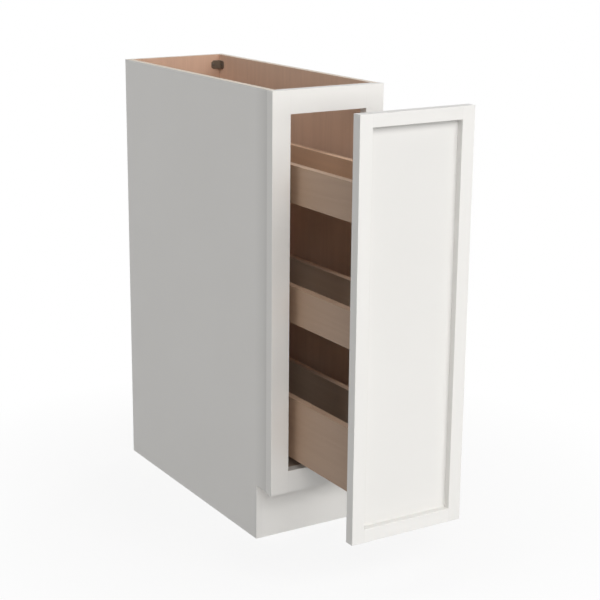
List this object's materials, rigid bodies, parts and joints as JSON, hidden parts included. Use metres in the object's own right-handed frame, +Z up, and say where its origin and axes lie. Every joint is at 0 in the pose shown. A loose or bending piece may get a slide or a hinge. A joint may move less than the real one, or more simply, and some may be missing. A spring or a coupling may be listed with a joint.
{
  "type": "spice rack base cabinet",
  "caption": "Slim face-frame base cabinet with a recessed-panel door on a full-extension pull-out spice rack of open trays, toe-kick recess and open top for a worktop.",
  "frame": {"origin": "on the floor at the wall, in the middle of the cabinet's width", "axes": "+X to the right seen from the front, +Y into the wall, +Z up; the door faces -Y"},
  "size_m": [0.238, 0.8806, 0.8763],
  "materials": {
    "white_paint": "satin sprayed paint",
    "faced_board": "plywood, white outside and natural inside",
    "natural_board": "clear-coated natural plywood",
    "zinc_steel": "zinc plated",
    "screw_steel": "yellow zinc",
    "dark_screw_steel": "black phosphate",
    "ball_steel": "polished",
    "cage_plastic": "moulded",
    "brace_plastic": "moulded",
    "stop_rubber": "matte",
    "bumper_rubber": "soft clear"
  },
  "bodies": {
    "carcass": {"back_panel": "natural_board", "bottom_panel": "natural_board", "toe_kick_board": "white_paint", "frame_top_rail": "white_paint", "frame_bottom_rail": "white_paint", "brace_screws": "dark_screw_steel", "cabinet_rail_screws": "screw_steel", "side_panel_left": "faced_board", "toe_kick_cleat_left": "natural_board", "frame_stile_left": "white_paint", "cabinet_rail_left": "zinc_steel", "runner_stop_left": "stop_rubber", "corner_brace_front_left": "brace_plastic", "corner_brace_back_left": "brace_plastic", "side_panel_right": "faced_board", "toe_kick_cleat_right": "natural_board", "frame_stile_right": "white_paint", "cabinet_rail_right": "zinc_steel", "runner_stop_right": "stop_rubber", "corner_brace_front_right": "brace_plastic", "corner_brace_back_right": "brace_plastic"},
    "lower_cages": {"lower_ball_cages_left": "cage_plastic", "lower_balls_left": "ball_steel", "lower_ball_cages_right": "cage_plastic", "lower_balls_right": "ball_steel"},
    "middle_rails": {"middle_rail_left": "zinc_steel", "middle_rail_right": "zinc_steel"},
    "upper_cages": {"upper_ball_cages_left": "cage_plastic", "upper_balls_left": "ball_steel", "upper_ball_cages_right": "cage_plastic", "upper_balls_right": "ball_steel"},
    "rack": {"door_top_rail": "white_paint", "door_bottom_rail": "white_paint", "door_panel": "white_paint", "door_bumpers": "bumper_rubber", "door_screws": "screw_steel", "front_upright": "natural_board", "rear_upright": "natural_board", "tray_screws": "screw_steel", "drawer_rail_screws": "screw_steel", "door_stile_left": "white_paint", "drawer_rail_left": "zinc_steel", "bottom_tray_side_left": "natural_board", "middle_tray_side_left": "natural_board", "top_tray_side_left": "natural_board", "door_stile_right": "white_paint", "drawer_rail_right": "zinc_steel", "bottom_tray_side_right": "natural_board", "middle_tray_side_right": "natural_board", "top_tray_side_right": "natural_board", "bottom_tray_bottom": "natural_board", "middle_tray_bottom": "natural_board", "top_tray_bottom": "natural_board"}
  },
  "joints": [
    {"name": "rack_slide", "type": "slide", "parent": "carcass", "child": "rack", "axis": [0, -1, 0], "range_m": [-0.25, 0.25]},
    {"name": "middle_rail_slide", "type": "slide", "parent": "carcass", "child": "middle_rails", "axis": [0, -1, 0], "range_m": [-0.125, 0.125]},
    {"name": "lower_cage_roll", "type": "slide", "parent": "carcass", "child": "lower_cages", "axis": [0, -1, 0], "range_m": [-0.0625, 0.0625]},
    {"name": "upper_cage_roll", "type": "slide", "parent": "carcass", "child": "upper_cages", "axis": [0, -1, 0], "range_m": [-0.1875, 0.1875]}
  ],
  "couplings": [
    {"joint": "middle_rail_slide", "follows": "rack_slide", "ratio": 0.5},
    {"joint": "lower_cage_roll", "follows": "rack_slide", "ratio": 0.25},
    {"joint": "upper_cage_roll", "follows": "rack_slide", "ratio": 0.75}
  ]
}
